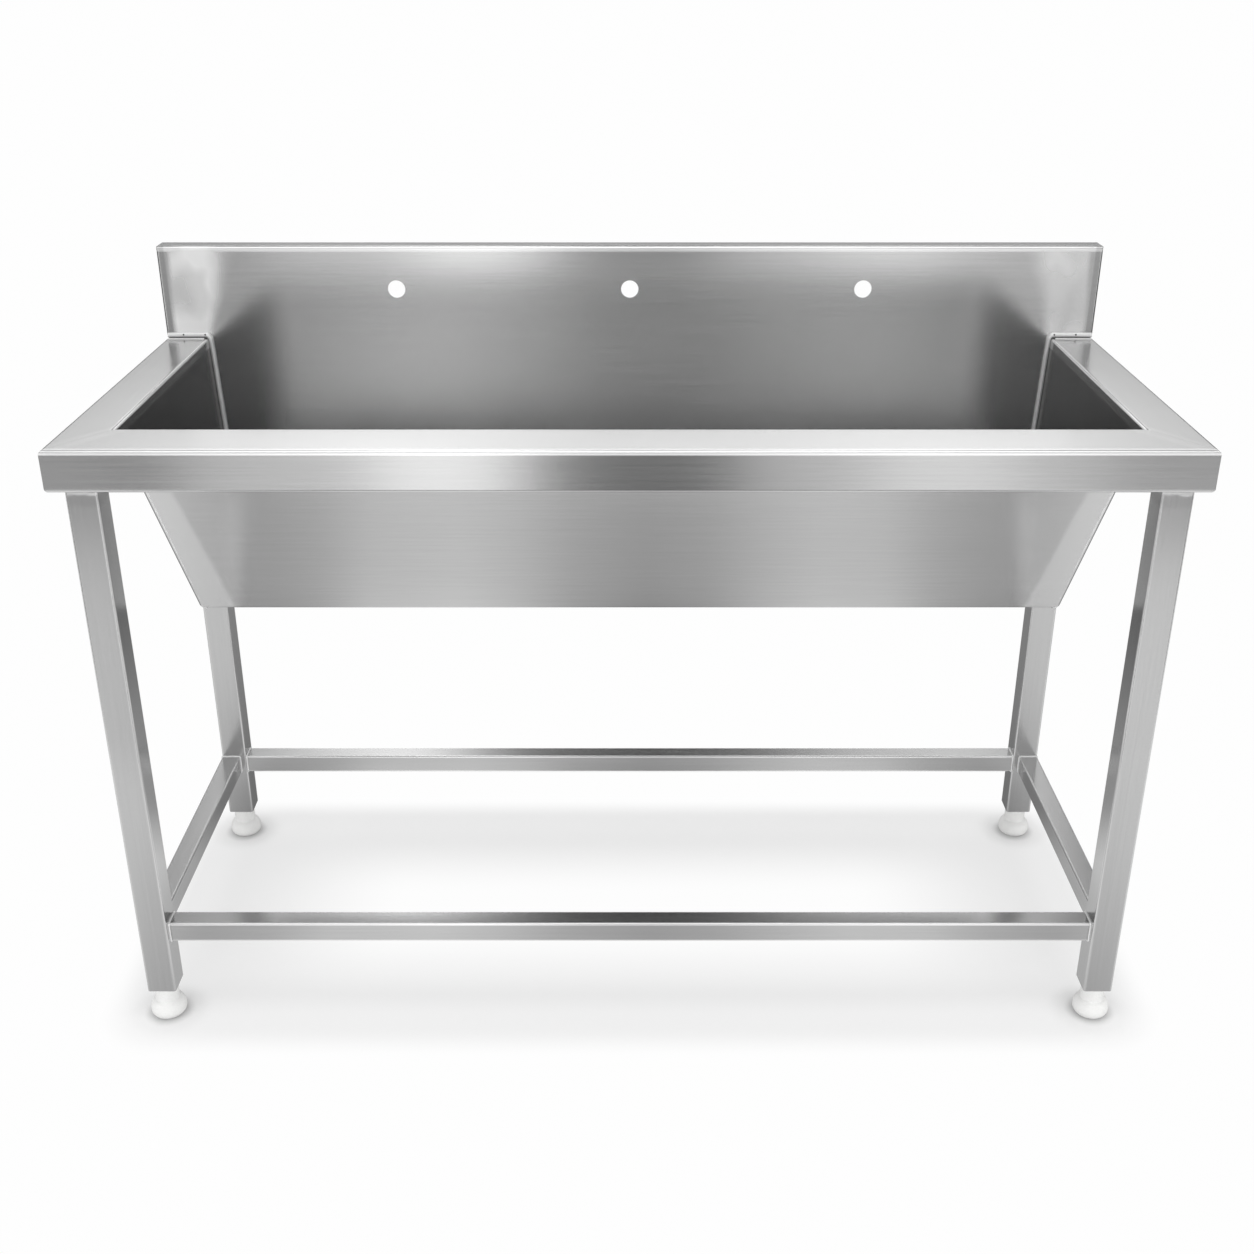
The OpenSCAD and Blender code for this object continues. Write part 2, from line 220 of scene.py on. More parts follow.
brushed = {
    "color": 0.58,
    "streakColor": 0.032,         # how far fine streaks lighten and darken it
    "roughness": 0.19,
    "streakRoughness": 0.035,
    "longScale": 6,               # streaks per metre, along the grain
    "fineLonger": 6,              # how many times that for the finest ones
    "midScale": 420,              # across it, the streaks that show from a step away
    "fineScale": 2600,            # and the ones that show close up
    "midShare": 1.2,
    "fineShare": 0.8,
    "cloudScale": (3.1, 3.7, 3.3),
    "cloudShare": 0.5,
    "cloudRoughness": 0.05,
    "bump": 0.012,
    "sheetWave": 0.35 * mm,       # how far the sheet is out of flat
    "polishColor": 0.80,          # where welds were dressed with a disc
    "polishRoughness": 0.2,
    "polishWave": 0.5 * mm,
    "swirlScale": (17, 17, 14),
    "lightAndHighlightColor": 0.92,           # the brightest and the darkest spots: worked places, painted highlights and reflections, and painted shade
    "darkAndShadeColor": 0.16,
    "lighterMatt": 0.6,               # how matt the lighter places are, worked spots and painted highlights alike
}


def grainScale(axis, along, across):
    return tuple(along if name == axis else across for name in "XYZ")


def brushedSteel(name, axis, wearAndPaintedLight=None, change=None):
    given = dict(brushed, **(change or {}))
    material, finish = newMaterial(name)
    spot = finish.spot()
    mid = finish.grain(spot, grainScale(axis, given["longScale"], given["midScale"]), 3.0, 0.6)
    fineAlong = given["longScale"] * given["fineLonger"]
    fine = finish.grain(spot, grainScale(axis, fineAlong, given["fineScale"]), 2.0, 0.6)
    cloud = finish.grain(spot, given["cloudScale"], 2.0, 0.5)
    streak = (mid - 0.5) * given["midShare"] + (fine - 0.5) * given["fineShare"]
    shade = finish.remap(streak + (cloud - 0.5) * given["cloudShare"], -0.5, 0.5, smooth=False)
    low = given["color"] - given["streakColor"]
    high = given["color"] + given["streakColor"]
    color = finish.blend(shade, grey(low), grey(high))
    rough = streak * given["streakRoughness"] + (cloud - 0.5) * given["cloudRoughness"]
    rough = rough + given["roughness"]
    wave = cloud * given["sheetWave"]
    if wearAndPaintedLight:
        # a list of masks: how polished, how much lighter and how much darker each spot is; the lighter and
        # darker ones hold worked spots, painted highlights and reflections, and painted shade
        polished, lighter, darker = wearAndPaintedLight(finish, spot)
        swirl = finish.grain(spot, given["swirlScale"], 1.0, 0.4, 0.3)
        color = finish.blend(polished, color, grey(given["polishColor"]))
        color = finish.blend(lighter, color, grey(given["lightAndHighlightColor"]))
        color = finish.blend(darker, color, grey(given["darkAndShadeColor"]))
        rough = rough * (1 - polished) + polished * given["polishRoughness"]
        wave = wave + polished * swirl * given["polishWave"]
    metal = 1 - lighter * given["lighterMatt"] if wearAndPaintedLight else 1.0
    height = (fine + mid) * given["bump"] * mm + wave
    bump = finish.add("Bump", {}, {"Strength": 1.0, "Distance": 1.0, "Height": height})
    surface = finish.add("BsdfPrincipled", {}, {
        "Base Color": color, "Metallic": metal, "Roughness": rough, "Normal": bump})
    closeMaterial(finish, surface)
    return material


# the trough as the CAD folds it
folded = {
    "frontRimWidth": 87 * mm,
    "endLean": 2.6,               # degrees from upright
    "frontLean": 32,
    "sheet": 1.5 * mm,
}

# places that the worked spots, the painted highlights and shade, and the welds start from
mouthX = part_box("right_rim")[0].x
mouthY = rimFront + folded["frontRimWidth"]
splashFace = splashBox[0].y
splashTop = splashBox[1].z
endLean = math.tan(math.radians(folded["endLean"]))
frontLean = math.tan(math.radians(folded["frontLean"]))
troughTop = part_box("trough_front_and_floor")[0].z + folded["sheet"]

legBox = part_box("leg_front_right")
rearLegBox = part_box("leg_rear_right")
legX = (legBox[0].x + legBox[1].x) / 2
rowMiddle = (legBox[0].y + rearLegBox[1].y) / 2
legY = (rearLegBox[0].y + rearLegBox[1].y) / 2 - rowMiddle
legHalf = (legBox[1].x - legBox[0].x) / 2
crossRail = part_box("rail_rear")
railZ = (crossRail[0].z + crossRail[1].z) / 2
railHalf = (crossRail[1].z - crossRail[0].z) / 2
railY = (crossRail[0].y + crossRail[1].y) / 2 - rowMiddle
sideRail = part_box("rail_right")
railX = (sideRail[0].x + sideRail[1].x) / 2

# pairs are the spans over which a spot fades in or out, in metres from the edge it follows
splashWork = {
    "footReach": 0.004,           # how far the dressed patch at each end passes the mouth's corner
    "topReach": 0.034,
    "footSoft": 0.005,            # how soft its border is
    "topSoft": 0.030,
    "to": 0.686,                  # its outer end, from the middle
    "toSoft": (-0.008, 0.002),
    "aboveRim": (0.001, 0.006),
    "behindFace": (0.002, 0.005),
    "wander": 0.007,              # how far its border wanders
    "wanderScale": (7, 7, 9),
    "leftShare": 1.0,             # the left end was dressed harder
    "rightShare": 0.6,
    "base": 0.3,                  # how light the patch is, and what its border, smears and foot add
    "ridge": 0.4,
    "ridgeWidth": (0.2, 2.2),     # in widths of the soft border
    "smear": 0.5,
    "smearLevels": (0.36, 0.66),  # of the noise
    "smearScale": (16, 16, 11),
    "foot": 0.4,
    "footHeight": (0.004, 0.045),
    "polished": 0.2,
    "harder": 0.4,                # what the shares above add to that
    # painted highlight along the top fold
    "foldHighlight": 0.75,
    "foldLow": (-0.0088, -0.0070),
    "foldHigh": (-0.0012, 0),
    # painted shade along the rounded outer ends
    "borderShade": 0.3,
    "borderFrom": (0.001, 0.004),
}

panelWork = {
    "topWidth": 0.027,            # a band along each end of the sloping front, smoother and painted lighter as a reflection
    "footWidth": 0.048,
    "soft": (-0.005, 0.006),
    "wander": 0.006,
    "wanderScale": (20, 20, 20),
    "polished": 0.2,
    # painted reflection in that band
    "bright": 0.25,
    "apronShade": 0.12,                # painted shade right under the apron
    "apronShadeHeight": (-0.024, -0.004),
}

rimWork = {
    "upper": (-0.004, -0.001),    # the top face alone
    "polished": 0.12,             # on both sides of the mitred seam
    "polishedWidth": (0.15, 0.4),  # in widths of the rim, as the next one
    "seamWidth": (0.006, 0.03),
    "seamBright": 0.12,
    # painted highlight on the fold in front
    "foldHighlight": 0.8,
    "foldDepth": (0.0080, 0.0100),
    "foldHeight": (-0.0062, -0.0050),
    # painted highlight on the fold at the apron's foot
    "lowFoldHighlight": 0.3,
    "lowFoldUp": 0.0024,          # its middle, above the apron's foot
    "lowFoldWidth": (0.0004, 0.0014),
    "lowFoldDepth": (0.004, 0.006),
    "lipHighlight": 0.6,             # painted highlight along the mouth
    "lipWidth": (0.0030, 0.0045),
    "lipFrom": (-0.002, 0.002),
    "weldShade": 0.6,              # painted shade beside the weld at the splashback
    "weldReach": (-0.009, -0.007),
}

cornerWork = {
    "weldShade": 0.7,              # painted shade on the end walls, beside the weld in the rear corner
    "weldReach": (-0.011, -0.006),
}

legWork = {
    "wander": 0.010,
    "wanderScale": (60, 60, 60),
    "topPolished": 0.6,           # where the leg meets the apron
    "topBright": 0.35,
    "topHeight": (-0.010, -0.004),
    "railPolished": 0.1,          # and where the rails meet it
    "railDark": 0.05,
    "railReach": (-0.008, 0.014),
    "edgeHighlight": 0.35,
    "heatDark": 0.1,              # a band below the apron
    "heatDown": 0.017,
    "heatWidth": (0.002, 0.011),
    "innerShade": 0.6,             # painted shade on the inner faces, fading out down to innerReach
    "innerReach": 0.32,
}

tubeWork = {
    "edgeHighlight": 0.7,            # painted highlights on the rounded corners of every square tube
    "edgeWidth": (-0.0038, -0.0022),
    "oneFace": (-0.0008, -0.0003),  # a flat face alone
    "sideEdge": 0.1,              # share of the corner highlights on the side rails
    "sideTopLight": 0.3,               # painted light: how much lighter their upper face is
}


def upTheSplash(finish, height, atFoot, atTop):
    return finish.remap(height, rimTop, splashTop, atFoot, atTop, smooth=False)


def splashMarks(finish, spot):
    x, y, z = finish.split(spot)
    wander = (finish.grain(spot, splashWork["wanderScale"], 1.0, 0.4) - 0.5) * splashWork["wander"] * 2
    place = abs(x) + wander
    above = finish.rise(z, splashWork["aboveRim"], rimTop)
    above = above * finish.fall(y, splashWork["behindFace"], splashFace)
    share = finish.remap(x, -0.1, 0.1, splashWork["leftShare"], splashWork["rightShare"])
    # the patch widens and softens towards the top, and is brightest along its inner border
    reach = upTheSplash(finish, z, splashWork["footReach"], splashWork["topReach"])
    soft = upTheSplash(finish, z, splashWork["footSoft"], splashWork["topSoft"])
    inner = (place + reach - mouthX) / soft
    patch = finish.remap(inner, -1, 1)
    patch = patch * finish.fall(place, splashWork["toSoft"], splashWork["to"]) * above
    ridge = finish.fall(abs(inner - 1), splashWork["ridgeWidth"]) * splashWork["ridge"]
    cloud = finish.grain(spot, splashWork["smearScale"], 1.0, 0.4, 0.3)
    smear = finish.rise(cloud, splashWork["smearLevels"]) * splashWork["smear"]
    foot = finish.fall(z, splashWork["footHeight"], rimTop) * splashWork["foot"]
    lighter = (ridge + smear + foot + splashWork["base"]).low(1) * patch * share
    # painted shade along the rounded outer ends
    border = finish.rise(abs(x), splashWork["borderFrom"], splashWork["to"])
    # painted highlight along the splashback's top fold
    fold = finish.rise(z, splashWork["foldLow"], splashTop)
    fold = fold * finish.fall(z, splashWork["foldHigh"], splashTop)
    polished = patch * (share * splashWork["harder"] + splashWork["polished"])
    bright = lighter.top(fold * splashWork["foldHighlight"])
    return polished, bright, border * above * splashWork["borderShade"]


def panelMarks(finish, spot):
    x, _, z = finish.split(spot)
    edge = mouthX - (rimTop - z) * endLean - abs(x)
    footWide, topWide = panelWork["footWidth"], panelWork["topWidth"]
    wide = finish.remap(z, troughTop, rimTop, footWide, topWide, smooth=False)
    wander = (finish.grain(spot, panelWork["wanderScale"], 2.0, 0.5) - 0.5) * panelWork["wander"]
    # painted reflection along each end, where the sheet is also smoother
    reflectionBand = finish.fall(edge - wide + wander, panelWork["soft"])
    # painted shade under the apron
    apronShade = finish.rise(z, panelWork["apronShadeHeight"], apronFoot)
    return reflectionBand * panelWork["polished"], reflectionBand * panelWork["bright"], apronShade * panelWork["apronShade"]


def rimMarks(finish, spot):
    # the ground seam from the mouth's corner to the outer corner, painted highlights on the folds and
    # along the mouth, and painted shade beside the weld at the splashback
    x, y, z = finish.split(spot)
    run = (abs(x) - mouthX) / (halfWidth - mouthX) - (y - mouthY) / (rimFront - mouthY)
    upper = finish.rise(z, rimWork["upper"], rimTop)
    seam = finish.fall(abs(run), rimWork["seamWidth"]) * upper
    dressed = finish.fall(abs(run), rimWork["polishedWidth"]) * upper
    # painted highlights: the fold in front, the fold at the apron's foot and the lip along the mouth
    fold = finish.fall(y, rimWork["foldDepth"], rimFront)
    fold = fold * finish.rise(z, rimWork["foldHeight"], rimTop)
    lowFold = finish.fall(abs(z - apronFoot - rimWork["lowFoldUp"]), rimWork["lowFoldWidth"])
    lowFold = lowFold * finish.fall(y, rimWork["lowFoldDepth"], rimFront)
    lip = finish.fall(abs(x), rimWork["lipWidth"], mouthX) * upper
    lip = lip * finish.rise(y, rimWork["lipFrom"], mouthY)
    # painted shade beside the weld
    weld = finish.rise(y, rimWork["weldReach"], splashFace) * upper
    bright = (seam * rimWork["seamBright"]).top(fold * rimWork["foldHighlight"])
    bright = bright.top(lip * rimWork["lipHighlight"]).top(lowFold * rimWork["lowFoldHighlight"])
    return dressed * rimWork["polished"], bright, weld * rimWork["weldShade"]


def endMarks(finish, spot):
    # painted shade: the dark line that lies beside the weld in the rear corner
    _, y, _ = finish.split(spot)
    line = finish.rise(y, cornerWork["weldReach"], splashFace)
    return line * 0.0, line * 0.0, line * cornerWork["weldShade"]


def legMarks(finish, spot):
    # heat and grinding where the leg is welded: under the rim, and at the rails; painted highlights on its
    # corners, painted shade on its inner faces
    x, y, z = finish.split(spot)
    wander = (finish.grain(spot, legWork["wanderScale"], 2.0, 0.5) - 0.5) * legWork["wander"]
    under = finish.rise(z + wander, legWork["topHeight"], apronFoot)
    below = finish.fall(abs(z + wander - apronFoot + legWork["heatDown"]), legWork["heatWidth"])
    near = finish.fall(abs(z - railZ) + wander - railHalf, legWork["railReach"])
    edge = tubeEdge(finish, abs(x) - legX, abs(y - rowMiddle) - legY, legHalf)
    # painted shade on the inner faces under the rim
    inward = finish.rise(legX - legHalf - abs(x), tubeWork["oneFace"])
    inward = inward * finish.remap(z, apronFoot - legWork["innerReach"], apronFoot)
    polished = under * legWork["topPolished"] + near * legWork["railPolished"]
    bright = (under * legWork["topBright"]).top(edge * legWork["edgeHighlight"])
    heatAndShade = below * legWork["heatDark"] + near * legWork["railDark"] + inward * legWork["innerShade"]
    return polished, bright, heatAndShade


def crossRailMarks(finish, spot):
    _, y, z = finish.split(spot)
    # painted highlights on the rail's corners
    edge = tubeEdge(finish, z - railZ, abs(y - rowMiddle) - railY, railHalf)
    return edge * 0.0, edge, edge * 0.0


def sideRailMarks(finish, spot):
    x, _, z = finish.split(spot)
    # painted highlights on the corners, and painted light on the upper face
    edge = tubeEdge(finish, z - railZ, abs(x) - railX, railHalf)
    upper = finish.rise(z, tubeWork["oneFace"], railZ + railHalf)
    bright = (edge * tubeWork["sideEdge"]).top(upper * tubeWork["sideTopLight"])
    return edge * 0.0, bright, edge * 0.0


def tubeEdge(finish, across, along, half):
    # painted highlights on the rounded corners of a square tube
    nearer = abs(across).low(abs(along))
    return finish.rise(nearer, tubeWork["edgeWidth"], half) * tubeWork["edgeHighlight"]


frontSheet = brushedSteel("brushedFrontRim", "X", rimMarks)
sideSheet = brushedSteel("brushedSideRims", "Y", rimMarks)
splashSheet = brushedSteel("brushedSplashback", "X", splashMarks)
panelSheet = brushedSteel("brushedTroughFront", "X", panelMarks)
sheetX = brushedSteel("brushedAcross", "X")
crossTube = brushedSteel("brushedCrossRails", "X", crossRailMarks)
sideTube = brushedSteel("brushedSideRails", "Y", sideRailMarks)
tubeZ = brushedSteel("brushedUpright", "Z", legMarks)
# the end walls are the same steel, with a darker base colour as painted shade for the dark inside of the
# trough
shadedEndSheet = brushedSteel("brushedTroughEndsShaded", "Y", endMarks, {"color": 0.28, "roughness": 0.25})


def plainMaterial(name, color, roughness, metallic=0.0, speckle=0.03, scale=900):
    material, finish = newMaterial(name)
    spot = finish.spot()
    cloud = finish.grain(spot, (scale,) * 3, 3.0, 0.5)
    tint = finish.remap(cloud, 0.3, 0.7)
    darker = tuple(channel * (1 - speckle) for channel in color[:3]) + (1.0,)
    bump = finish.add("Bump", {}, {"Strength": 0.03, "Distance": mm, "Height": cloud})
    surface = finish.add("BsdfPrincipled", {}, {
        "Base Color": finish.blend(tint, darker, color), "Metallic": metallic,
        "Roughness": (cloud - 0.5) * 0.1 + roughness, "Normal": bump})
    closeMaterial(finish, surface)
    return material


footWhite = plainMaterial("whiteNylon", (0.86, 0.86, 0.85, 1.0), 0.28)
plugWhite = plainMaterial("plugNylon", (0.62, 0.62, 0.60, 1.0), 0.55)
studSteel = plainMaterial("studSteel", (0.56, 0.55, 0.53, 1.0), 0.32, metallic=1.0)
wasteSteel = plainMaterial("wasteSteel", (0.62, 0.62, 0.62, 1.0), 0.16, metallic=1.0)
sealRubber = plainMaterial("sealRubber", (0.03, 0.03, 0.03, 1.0), 0.7)
scaleDark = plainMaterial("weldScale", (0.09, 0.09, 0.09, 1.0), 0.5, metallic=1.0, scale=2000)
beadSteel = plainMaterial("weldBead", (0.86, 0.86, 0.86, 1.0), 0.3, metallic=0.35, scale=300)
print("materials ready")


# pieces

dressing = {
    "edge": 0.35 * mm,            # how far a cut edge is broken
    "sharpest": 40,               # degrees past which an edge is broken
    "mergeWithin": 0.002 * mm,
    "flatWithin": 0.4,            # degrees
}


def nodeShape(node):
    # a merged copy of a CAD node's mesh, without the edges inside its flat faces
    shape = bmesh.new()
    shape.from_mesh(nodes[node].data)
    bmesh.ops.remove_doubles(shape, verts=shape.verts, dist=dressing["mergeWithin"])
    bmesh.ops.dissolve_limit(shape, angle_limit=math.radians(dressing["flatWithin"]),
                             verts=shape.verts, edges=shape.edges)
    return shape


def breakEdges(shape):
    least = math.radians(dressing["sharpest"])
    sharp = [edge for edge in shape.edges if len(edge.link_faces) == 2 and edge.calc_face_angle() > least]
    bmesh.ops.bevel(shape, geom=sharp, offset=dressing["edge"], offset_type="OFFSET", segments=2,
                    profile=0.5, affect="EDGES", material=-1, clamp_overlap=True)


def finishPiece(name, shape, material, body, smoothest=35):
    mesh = bpy.data.meshes.new(name)
    for face in shape.faces:
        face.smooth = True
    for edge in shape.edges:
        edge.smooth = len(edge.link_faces) != 2 or edge.calc_face_angle() < math.radians(smoothest)
    shape.to_mesh(mesh)
    shape.free()
    mesh.materials.append(material)
    piece = bpy.data.objects.new(name, mesh)
    bpy.context.collection.objects.link(piece)
    weighted = piece.modifiers.new("evenShading", "WEIGHTED_NORMAL")
    weighted.keep_sharp = True
    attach(piece, body)
    return piece


def dress(node, name, material):
    # stands for a CAD node of the stand, with the node's own shape and its edges broken
    shape = nodeShape(node)
    breakEdges(shape)
    piece = finishPiece(name, shape, material, "stand")
    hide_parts(node)


dress("front_rim", "frontRim", frontSheet)
dress("left_rim", "leftRim", sideSheet)
dress("right_rim", "rightRim", sideSheet)
dress("splashback", "splashSheet", splashSheet)
dress("rear_stiffener", "rearStiffener", sheetX)
dress("trough_front_and_floor", "troughFrontAndFloor", panelSheet)
dress("trough_left_end", "troughLeftEnd", shadedEndSheet)
dress("trough_right_end", "troughRightEnd", shadedEndSheet)
for rail, grained in (("front", crossTube), ("rear", crossTube), ("left", sideTube), ("right", sideTube)):
    dress("rail_" + rail, rail + "Rail", grained)
for corner in corners:
    dress("leg_" + corner, "leg_" + corner + "_tube", tubeZ)
    dress("plate_" + corner, "plate_" + corner + "_flat", sheetX)
    dress("plug_" + corner, "plug_" + corner + "_square", plugWhite)
for part in ("body", "nut", "grid", "screw"):
    dress("waste_" + part, "waste" + part.capitalize(), wasteSteel)
for part in ("top", "under"):
    dress("waste_gasket_" + part, "gasket" + part.capitalize(), sealRubber)
print("sheets and tubes made")


# feet and studs

foot = {
    "steps": 72,
    "arcSteps": 16,
    "bellyHeight": 10 * mm,
    "padRadius": 18 * mm,
    "neckRadius": 16.5 * mm,
    "neckDepth": 23 * mm,         # from the leg's end down to the shoulder
    "shoulder": 75,               # degrees that the shoulder turns through
    "hollow": 2.2 * mm,
    "discRadius": 18.5 * mm,
    "discHeight": 2.4 * mm,
    "edge": 0.7 * mm,
    "socketRadius": 6.05 * mm,
    "socketDepth": 28 * mm,
}

stud = {
    "steps": 28,
    "radius": 5.95 * mm,
    "coreRadius": 5.15 * mm,
    "pitch": 1.75 * mm,
    "threadFrom": 15 * mm,        # from the stud's lower end
    "runIn": 1 * mm,
    "tip": 0.6 * mm,
    "plainTop": 2.2 * mm,
    "rootSink": 0.15 * mm,        # how far the ridge's foot is sunk into the core
    "rootShare": 0.46,            # half widths of the ridge, as shares of the pitch
    "crestShare": 0.06,
}


def lathe(outline, x, y, steps):
    # turns an outline of (radius, height) pairs about an upright axis
    shape = bmesh.new()
    points = [shape.verts.new((radius, 0, height)) for radius, height in outline]
    for first, second in zip(points, points[1:]):
        shape.edges.new((first, second))
    bmesh.ops.spin(shape, geom=shape.verts[:] + shape.edges[:], cent=(0, 0, 0), axis=(0, 0, 1),
                   angle=math.tau, steps=steps, use_merge=True)
    bmesh.ops.remove_doubles(shape, verts=shape.verts, dist=0.01 * mm)
    bmesh.ops.recalc_face_normals(shape, faces=shape.faces)
    bmesh.ops.translate(shape, vec=(x, y, 0), verts=shape.verts)
    return shape


def roundedCorner(radius, height, edge, start, end, steps=4):
    return [(radius + edge * math.cos(math.radians(start + (end - start) * step / steps)),
             height + edge * math.sin(math.radians(start + (end - start) * step / steps)))
            for step in range(steps + 1)]


def hollowCorner(before, corner, after, steps=5):
    # a soft hollow where two stretches of an outline meet
    shares = [step / steps for step in range(steps + 1)]
    return [tuple(first * (1 - share) ** 2 + 2 * turned * share * (1 - share) + last * share ** 2
                  for first, turned, last in zip(before, corner, after)) for share in shares]


def footOutline(low, high):
    belly = (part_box("foot_front_left")[1].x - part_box("foot_front_left")[0].x) / 2
    pad, bulge, neck, edge = foot["padRadius"], foot["bellyHeight"], foot["neckRadius"], foot["edge"]
    outline = [(0, low)]
    for step in range(foot["arcSteps"] + 1):
        turn = math.radians(-90 + 90 * step / foot["arcSteps"])
        outline.append((pad + (belly - pad) * math.cos(turn), low + bulge * (1 + math.sin(turn))))
    neckLow = high - foot["neckDepth"]
    full = math.radians(foot["shoulder"])
    reach = (belly - neck) / (1 - math.cos(full))
    rise = (neckLow - low - bulge) / math.sin(full)
    for step in range(1, foot["arcSteps"]):
        turn = full * step / foot["arcSteps"]
        outline.append((belly - reach * (1 - math.cos(turn)), low + bulge + rise * math.sin(turn)))
    outline += hollowCorner(outline[-1], (neck, neckLow), (neck, neckLow + foot["hollow"]))[1:]
    under = high - foot["discHeight"]
    outline.append((neck, under))
    disc = foot["discRadius"] - edge
    outline += roundedCorner(disc, under + edge, edge, -90, 0)
    outline += roundedCorner(disc, high - edge, edge, 0, 90)
    bore, depth = foot["socketRadius"], foot["socketDepth"]
    return outline + [(bore, high), (bore, high - depth), (0, high - depth)]


def makeFoot(corner):
    low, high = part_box("foot_" + corner)
    middle = (low + high) / 2
    shape = lathe(footOutline(low.z, high.z), middle.x, middle.y, foot["steps"])
    piece = finishPiece("bulletFoot_" + corner, shape, footWhite, "adjuster_" + corner)
    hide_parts("foot_" + corner)


def makeStud(corner):
    low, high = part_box("stud_" + corner)
    middle = (low + high) / 2
    core, crest, pitch, tip = stud["coreRadius"], stud["radius"], stud["pitch"], stud["tip"]
    threadLow = low.z + stud["threadFrom"]
    outline = [(0, low.z), (crest, low.z), (crest, threadLow - stud["runIn"]), (core, threadLow),
               (core, high.z - tip), (core - tip, high.z), (0, high.z)]
    shape = lathe(outline, 0, 0, stud["steps"])
    turns = int((high.z - threadLow - stud["plainTop"]) / pitch)
    # the thread is one ridge that winds up round the core
    ridge = bmesh.new()
    start = threadLow + pitch / 2
    root = core - stud["rootSink"]
    profile = [(root, -stud["rootShare"]), (crest, -stud["crestShare"]),
               (crest, stud["crestShare"]), (root, stud["rootShare"])]
    ridge.faces.new([ridge.verts.new((radius, 0, start + pitch * share)) for radius, share in profile])
    steps = turns * stud["steps"]
    bmesh.ops.spin(ridge, geom=ridge.faces[:], cent=(0, 0, 0), axis=(0, 0, 1),
                   dvec=(0, 0, pitch / stud["steps"]), angle=math.tau * turns, steps=steps)
    bmesh.ops.recalc_face_normals(ridge, faces=ridge.faces)
    mesh = bpy.data.meshes.new("threadRidge")
    ridge.to_mesh(mesh)
    ridge.free()
    shape.from_mesh(mesh)
    bpy.data.meshes.remove(mesh)
    bmesh.ops.translate(shape, vec=(middle.x, middle.y, 0), verts=shape.verts)
    piece = finishPiece("threadedStud_" + corner, shape, studSteel, "adjuster_" + corner)
    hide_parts("stud_" + corner)


for corner in corners:
    makeFoot(corner)
    makeStud(corner)
print("feet made")


# welds

welds = {
    "cornerRadius": 3.7 * mm,
    "cornerInset": 1.7 * mm,      # how far the bead's middle stands out of the corner
    "cornerTurn": 7 * mm,
    "cornerLift": 4.6 * mm,       # its height above the side rim
    "cornerFrom": 3 * mm,         # in from the side rim's outer edge
    "cornerTo": 17 * mm,          # below the rim, on the sloping front
    "toeRadius": 1.2 * mm,
    "toeReach": 9 * mm,           # the second bead's distance from the splashback
    "toeTurn": 4 * mm,
    "toeFrom": 4 * mm,            # in from the outer edge
    "toeTo": 6 * mm,              # out from the mouth
    "tackRadius": 1.6 * mm,
    "tackFrom": 27 * mm,
    "tackTo": 5 * mm,
    "tackOut": 4.2 * mm,          # from the splashback
    "tackUp": 5.2 * mm,           # above the side rim
    "railRadius": 1.5 * mm,
    "railInset": 0.5 * mm,
    "legRadius": 1.9 * mm,
    "legOut": 0.9 * mm,           # from the leg's faces
    "legUnder": 0.8 * mm,         # below the apron
    "legEnds": 4 * mm,            # in from the leg's edges, on its outer face
    "legInner": 1 * mm,           # and on its front face
    "tubeTurn": 3 * mm,           # on the legs and the rails
    "turnSteps": 6,
    "step": 1.5 * mm,             # length of one ring of a bead
    "ripple": 0.02,               # how much its radius varies from ring to ring
    "swell": 0.03,                # and along its length
    "sides": 8,
}


def softened(points, radius):
    # a path whose corners are rounded, cut into even steps
    points = [Vector(point) for point in points]
    rounded = [points[0]]
    for before, corner, after in zip(points, points[1:], points[2:]):
        back = (before - corner).normalized() * min(radius, (before - corner).length / 2)
        on = (after - corner).normalized() * min(radius, (after - corner).length / 2)
        for step in range(welds["turnSteps"] + 1):
            share = step / welds["turnSteps"]
            rounded.append(corner + back * (1 - share) ** 2 + on * share ** 2)
    rounded.append(points[-1])
    path = [rounded[0]]
    for first, second in zip(rounded, rounded[1:]):
        count = max(1, round((second - first).length / welds["step"]))
        path += [first.lerp(second, (step + 1) / count) for step in range(count)]
    return path


def sweepBead(name, points, radius, turn, closed=False):
    path = softened(points, turn)
    if closed:
        path = path[:-1]
    shape = bmesh.new()
    circle = bmesh.ops.create_circle(shape, cap_ends=False, segments=welds["sides"], radius=radius)
    ring = circle["verts"]
    firstEdges = edges = shape.edges[:]
    heading = (path[1] - path[0]).normalized()
    spinTo = Vector((0, 0, 1)).rotation_difference(heading).to_matrix().to_4x4()
    bmesh.ops.transform(shape, matrix=Matrix.Translation(path[0]) @ spinTo, verts=ring)
    size = 1.0
    for index in range(1, len(path)):
        after = path[min(index + 1, len(path) - 1)]
        newHeading = (after - path[index - 1]).normalized()
        if closed and index == len(path) - 1:
            newHeading = (path[0] - path[index - 1]).normalized()
        newSize = 1 + welds["ripple"] * math.sin(index * 2.1) + welds["swell"] * math.sin(index * 0.23)
        made = bmesh.ops.extrude_edge_only(shape, edges=edges)["geom"]
        ring = [part for part in made if isinstance(part, bmesh.types.BMVert)]
        edges = [part for part in made if isinstance(part, bmesh.types.BMEdge)
                 and all(vert in ring for vert in part.verts)]
        turnTo = heading.rotation_difference(newHeading).to_matrix().to_4x4()
        grow = Matrix.Scale(newSize / size, 4)
        move = Matrix.Translation(path[index]) @ turnTo @ grow @ Matrix.Translation(-path[index - 1])
        bmesh.ops.transform(shape, matrix=move, verts=ring)
        heading, size = newHeading, newSize
    if closed:
        bmesh.ops.bridge_loops(shape, edges=edges + firstEdges)
    else:
        bmesh.ops.holes_fill(shape, edges=edges + firstEdges, sides=0)
    bmesh.ops.recalc_face_normals(shape, faces=shape.faces)
    finishPiece(name, shape, beadSteel, "stand", smoothest=60)


def onSide(side, points):
    return [(x * side, y, z) for x, y, z in points]


